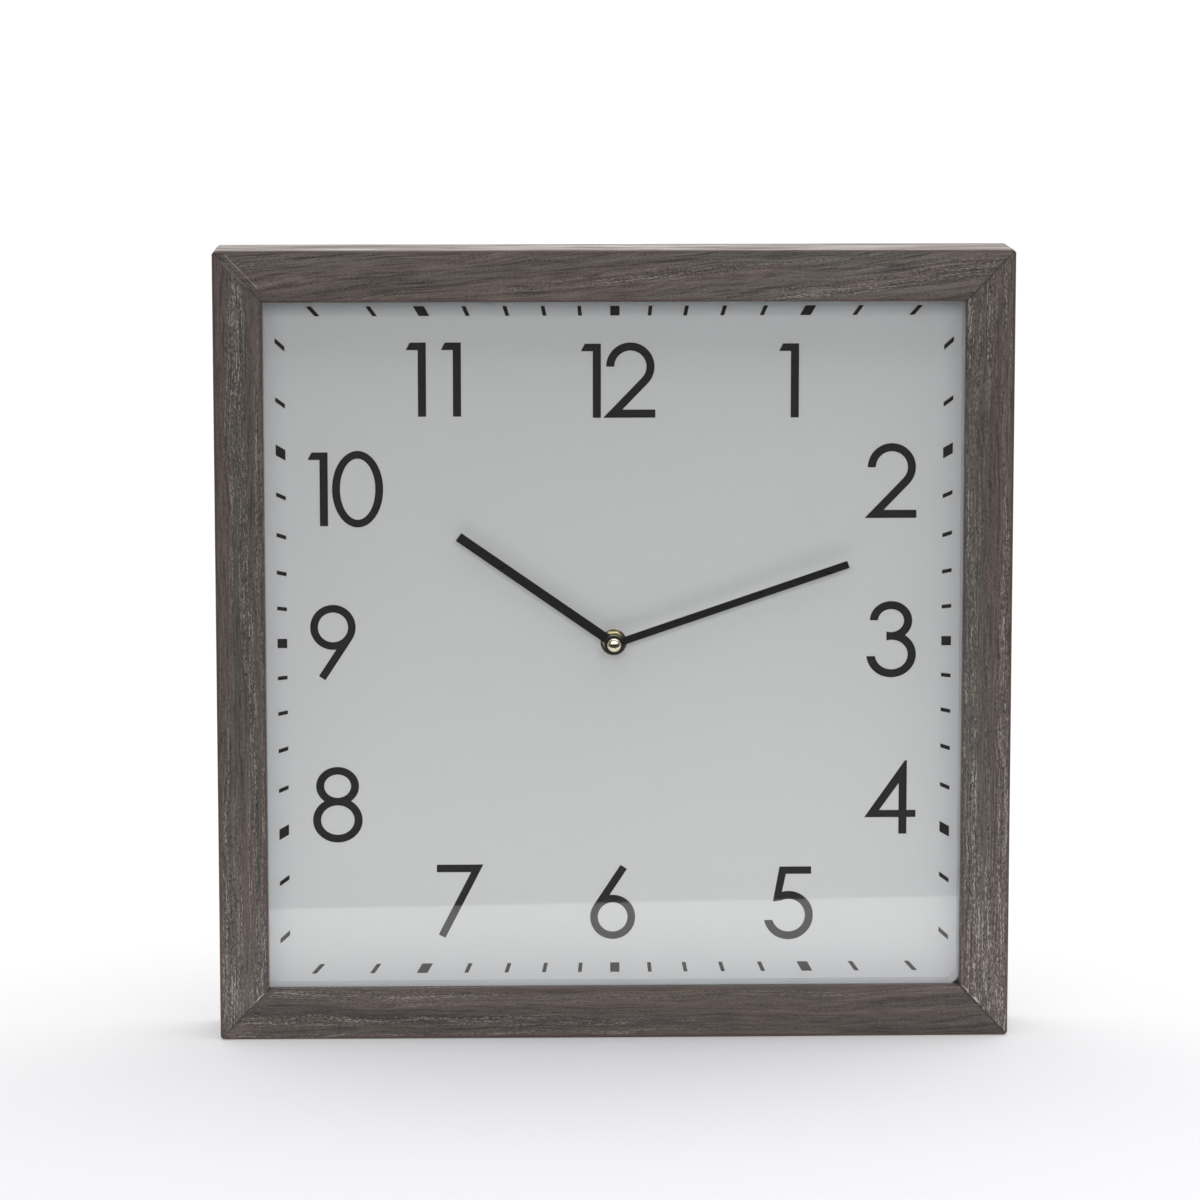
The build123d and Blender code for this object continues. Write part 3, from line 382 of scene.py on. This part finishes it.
def hardboard(name):
    """Brown pressed fibreboard: short fibres lying every way, and darker flecks."""
    look = Look(name)
    fibres = look.noise((500, 500, 2400), 3.0, 0.7)
    crossed = look.noise((2200, 500, 450), 3.0, 0.7)
    clouds = look.noise(14, 3.0, 0.6)
    both = look.plus(look.times(fibres, 0.5), look.times(crossed, 0.5))
    colour = look.mix(look.step(both, 0.38, 0.62), tone(104, 74, 50), tone(150, 115, 82))
    colour = look.lit(colour, look.span(clouds, 0.88, 1.12))
    flecks = look.step(look.noise((900, 900, 1300), 2.0, 0.5, shift=(3, 1, 7)), 0.66, 0.74)
    colour = look.mix(look.times(flecks, 0.6), colour, tone(62, 44, 32))
    look.surface(colour, look.span(fibres, 0.55, 0.8), look.plus(fibres, crossed), 0.05 * MM)
    return look.material


WIRE_PITCH = 0.22 * MM


def winding(name):
    """Enamelled copper wire, laid turn by turn along the coil."""
    look = Look(name)
    x, _, _ = look.parts()
    turns = look.math("SINE", look.times(x, tau / WIRE_PITCH))
    clouds = look.noise(300, 2.0)
    colour = look.lit(tone(168, 92, 52), look.span(clouds, 0.85, 1.15))
    look.surface(colour, look.span(clouds, 0.28, 0.4), turns, 0.05 * MM, Metallic=0.85)
    return look.material


def cell(name):
    """A battery's two-coloured jacket with bare metal at both ends. share runs from 0 to 1 along it."""
    look = Look(name)
    low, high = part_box("battery")
    x, _, _ = look.parts()
    share = look.times(look.minus(x, low.x), 1 / (high.x - low.x))
    scuffs = look.step(look.noise((120, 900, 900), 3.0, 0.6), 0.58, 0.72)
    jacket = look.mix(look.step(share, 0.70, 0.705), tone(38, 40, 44), tone(176, 112, 58))
    jacket = look.mix(look.times(scuffs, 0.25), jacket, tone(150, 150, 150))
    bare = look.math("MAXIMUM", look.step(share, 0.03, 0.026), look.step(share, 0.945, 0.95))
    colour = look.mix(bare, jacket, tone(200, 198, 192))
    look.surface(colour, look.span(look.noise(500, 3.0), 0.22, 0.4), scuffs, 0.01 * MM, Metallic=bare)
    return look.material


def strip(name):
    """Soft grey liner card: slightly ribbed and dull."""
    look = Look(name)
    fibre = look.noise((900, 1400, 900), 3.0, 0.7)
    clouds = look.noise(40, 3.0)
    shade = look.plus(look.span(clouds, 0.93, 1.07), look.swing(fibre, 0.12))
    look.surface(look.lit(tone(198, 199, 203), shade), look.span(fibre, 0.6, 0.85),
                 fibre, 0.02 * MM, Specular_IOR_Level=0.3)
    return look.material


finishes = {
    "window_glass": glass("window_glass"),
    "printed_paper": paper("printed_paper"),
    "dial_ink": ink("dial_ink"),
    "hardboard": hardboard("hardboard"),
    "grey_liner": strip("grey_liner"),
    "turned_brass": turned("turned_brass", tone(208, 197, 164), 0.20, tone(164, 152, 118)),
    "zinc_steel": metal("zinc_steel", tone(190, 192, 196), 0.34),
    "contact_strip": metal("contact_strip", tone(208, 204, 192), 0.28),
    "soft_iron": metal("soft_iron", tone(132, 130, 128), 0.42, cloud=0.15),
    "bright_can": metal("bright_can", tone(205, 207, 210), 0.24, cloud=0.05),
    "magnet": metal("magnet", tone(84, 84, 88), 0.4),
    "copper_wire": winding("copper_wire"),
    "battery_jacket": cell("battery_jacket"),
}
# the depth of the grain is in millimetres here
for name, colour, rough, cloud, grain, depth_mm, more in (
        ("black_case", (34, 34, 36), 0.46, 0.12, 2600, 0.03, {}),
        ("black_rubber", (30, 29, 29), 0.72, 0.12, 1500, 0.02, {}),
        ("black_hand", (24, 24, 25), 0.30, 0.10, 1800, 0.004, {"Coat_Weight": 0.5, "Coat_Roughness": 0.15}),
        ("white_gear", (224, 222, 214), 0.38, 0.04, 1800, 0.008, {}),
        ("bobbin_plastic", (196, 188, 160), 0.45, 0.06, 1800, 0.01, {}),
        ("board_laminate", (44, 92, 58), 0.34, 0.12, 900, 0.01, {}),
        ("chip_resin", (22, 22, 24), 0.28, 0.15, 500, 0.05, {})):
    finishes[name] = plain(name, tone(*colour), rough, cloud, grain, depth_mm * MM, **more)

single = {               # the pieces with a finish of their own
    "frame_rail_top": wood(
        "wood_top", upright=False, seed=1.0, tilt=0.09, limed=0.30, limed_end=0.0, red=-0.02, tone_and_shade=1.0,
        broad=1.0, marks=((LOW, 0.9, 178, 196, 0.4, -0.55),
                          (LOW, 0.2, 183, 195, 0.22, 0.32),
                          (LOW, 2.6, 176, 183, 0.5, -0.5),
                          (LOW, 3.4, 178, 193, 0.25, 0.42))),
    # the dark mark at the low end, by the inner corner, is a painted shadow beside the pale chip on the left
    # stile
    "frame_rail_bottom": wood(
        "wood_bottom", upright=False, seed=2.0, tilt=0.008, limed=0.40, limed_end=0.2, red=0.26, tone_and_shade=0.57,
        broad=1.8, marks=((LOW, 0.3, 174, 181, 0.35, -0.8),
                          (HIGH, 0.2, 176, 200, 0.25, -0.8))),
    "frame_stile_left": wood(
        "wood_left", upright=True, seed=3.0, tilt=0.0, limed=0.50, limed_end=0.6, red=0.02, tone_and_shade=0.76,
        broad=0.5, marks=((HIGH, 0.3, 184, 194, 0.22, 0.30),
                          (LOW, 0.45, 176.8, 180, 0.32, 0.85),
                          (LOW, 0.35, 180.8, 183.2, 0.22, 0.5))),
    "frame_stile_right": wood(
        "wood_right", upright=True, seed=4.0, tilt=0.0, limed=0.90, limed_end=0.5, red=0.02, tone_and_shade=0.80,
        broad=0.5, marks=((LOW, 0.2, 176, 200, 0.25, -0.9),
                          (LOW, 1.3, 174.6, 176.6, 0.3, 0.5),
                          (LOW, 1.1, 180.4, 182.6, 0.5, 0.9),
                          (LOW, 2.2, 184, 187, 0.22, 0.4))),
    "cap_nut": turned("polished_brass", tone(246, 238, 214), 0.07, tone(214, 200, 160)),
}

slot_of = {part["node"]: part["material_slot"] for part in frame["record"]["subparts"]}
for name, piece in nodes.items():
    finish = single.get(name) or finishes[slot_of[name]]
    piece.data.materials.clear()
    piece.data.materials.append(finish)


# ---------------------------------------------------------------- stage

FLOOR_REACH = 40.0         # half the floor's width
FLOOR_GAP = 0.2 * MM       # the floor lies this far below the clock
FADE_BEHIND = (-0.1, 0.8)  # from where to where the floor turns white behind the clock
FADE_AROUND = (1.2, 2.6)   # and all around it
TABLE_EDGE_Y = -0.345
TABLE_EDGE_SLANT = 0.067   # the edge runs a little away from the clock towards the right
ROOM_LIGHT = 0.25          # the world's strength in front of the clock
BACKDROP_LIGHT = 1.3       # and behind it
CAMERA_PLACE = (-0.0685, -2.4311, 0.5720)
CAMERA_FORWARD = (0.0251, 0.9894, -0.1428)
CAMERA_UP = (0.004, 0.1428, 0.9897)
LENS_MM = 145.5
SENSOR_MM = 36


def floor_look():
    """Pale floor near the clock that turns to the backdrop's white further off."""
    look = Look("studio_floor")
    x, y, _ = look.parts()
    away = look.math("SQRT", look.plus(look.times(x, x), look.times(y, y)))
    bounced = look.minus(1.0, look.add("LightPath").outputs["Is Camera Ray"])
    grey, pale = (0.70, 0.695, 0.715, 1), (0.97, 0.97, 0.97, 1)
    near = look.add("BsdfDiffuse", {"Color": look.mix(bounced, grey, pale)})
    white = look.add("Emission", {"Color": (1, 1, 1, 1), "Strength": 1.05})
    fade = look.math("MAXIMUM", look.step(look.plus(away, y), *FADE_BEHIND), look.step(away, *FADE_AROUND))
    table = look.add("MixShader", {0: fade, 1: near.outputs[0], 2: white.outputs[0]})
    # The clock stands near a table's front edge. The dark room beyond it is what the glass mirrors and what
    # throws no light back on the clock.
    inward = look.plus(y, look.times(x, TABLE_EDGE_SLANT))
    beyond = look.times(bounced, look.step(inward, TABLE_EDGE_Y + 1 * MM, TABLE_EDGE_Y - 1 * MM))
    room = look.add("BsdfDiffuse", {"Color": (0.02, 0.02, 0.02, 1)})
    both = look.add("MixShader", {0: beyond, 1: table.outputs[0], 2: room.outputs[0]})
    look.show(both.outputs[0])
    return look.material


corners = [(FLOOR_REACH * x, FLOOR_REACH * y, -FLOOR_GAP) for x, y in ((-1, -1), (1, -1), (1, 1), (-1, 1))]
floor_mesh = bpy.data.meshes.new("studio_floor")
floor_mesh.from_pydata(corners, [], [(0, 1, 2, 3)])
made = bpy.data.objects.new("studio_floor", floor_mesh)
bpy.context.scene.collection.objects.link(made)
floor_mesh.materials.append(floor_look())


def sky():
    """White for the camera. What lights the clock is brighter behind it than in front."""
    world = bpy.data.worlds.new("studio")
    bpy.context.scene.world = world
    world.use_nodes = True
    tree = world.node_tree
    tree.nodes.clear()

    def add(kind, **settings):
        made = tree.nodes.new("ShaderNode" + kind)
        for key, value in settings.items():
            setattr(made, key, value)
        return made

    way = add("SeparateXYZ")
    tree.links.new(add("TexCoord").outputs["Generated"], way.inputs[0])
    spread = add("MapRange", interpolation_type="SMOOTHSTEP")
    for key, value in ((1, -0.35), (2, 0.35), (3, ROOM_LIGHT), (4, BACKDROP_LIGHT)):
        spread.inputs[key].default_value = value
    tree.links.new(way.outputs[1], spread.inputs[0])
    around, seen, both = add("Background"), add("Background"), add("MixShader")
    tree.links.new(spread.outputs[0], around.inputs["Strength"])
    seen.inputs["Strength"].default_value = 1.0
    for background in (around, seen):
        background.inputs["Color"].default_value = (1, 1, 1, 1)
    tree.links.new(add("LightPath").outputs["Is Camera Ray"], both.inputs[0])
    tree.links.new(around.outputs[0], both.inputs[1])
    tree.links.new(seen.outputs[0], both.inputs[2])
    tree.links.new(both.outputs[0], add("OutputWorld").inputs[0])


def softbox(name, place, target, width, height, power):
    """A rectangular lamp at place that faces target."""
    lamp = bpy.data.lights.new(name, "AREA")
    lamp.shape = "RECTANGLE"
    lamp.size, lamp.size_y, lamp.energy = width, height, power
    made = bpy.data.objects.new(name, lamp)
    made.location = place
    made.rotation_euler = (Vector(target) - Vector(place)).to_track_quat("-Z", "Y").to_euler()
    bpy.context.scene.collection.objects.link(made)


sky()
softbox("overhead", place=(0.45, -0.2, 1.75), target=(0.45, -0.2, 0.0), width=2.2, height=2.0, power=23)
softbox("front", place=(0.0, -2.7, 1.12), target=(0.0, 0.0, 0.2), width=3.0, height=1.0, power=31)

lens = bpy.data.cameras.new("camera")
lens.sensor_width = SENSOR_MM
lens.lens = LENS_MM
camera = bpy.data.objects.new("camera", lens)
bpy.context.scene.collection.objects.link(camera)
forward = Vector(CAMERA_FORWARD).normalized()
right = forward.cross(Vector(CAMERA_UP)).normalized()
up = right.cross(forward)
turn = Matrix((right, up, -forward)).transposed().to_4x4()
camera.matrix_world = Matrix.Translation(CAMERA_PLACE) @ turn
bpy.context.scene.camera = camera
bpy.context.scene.view_settings.view_transform = "Standard"
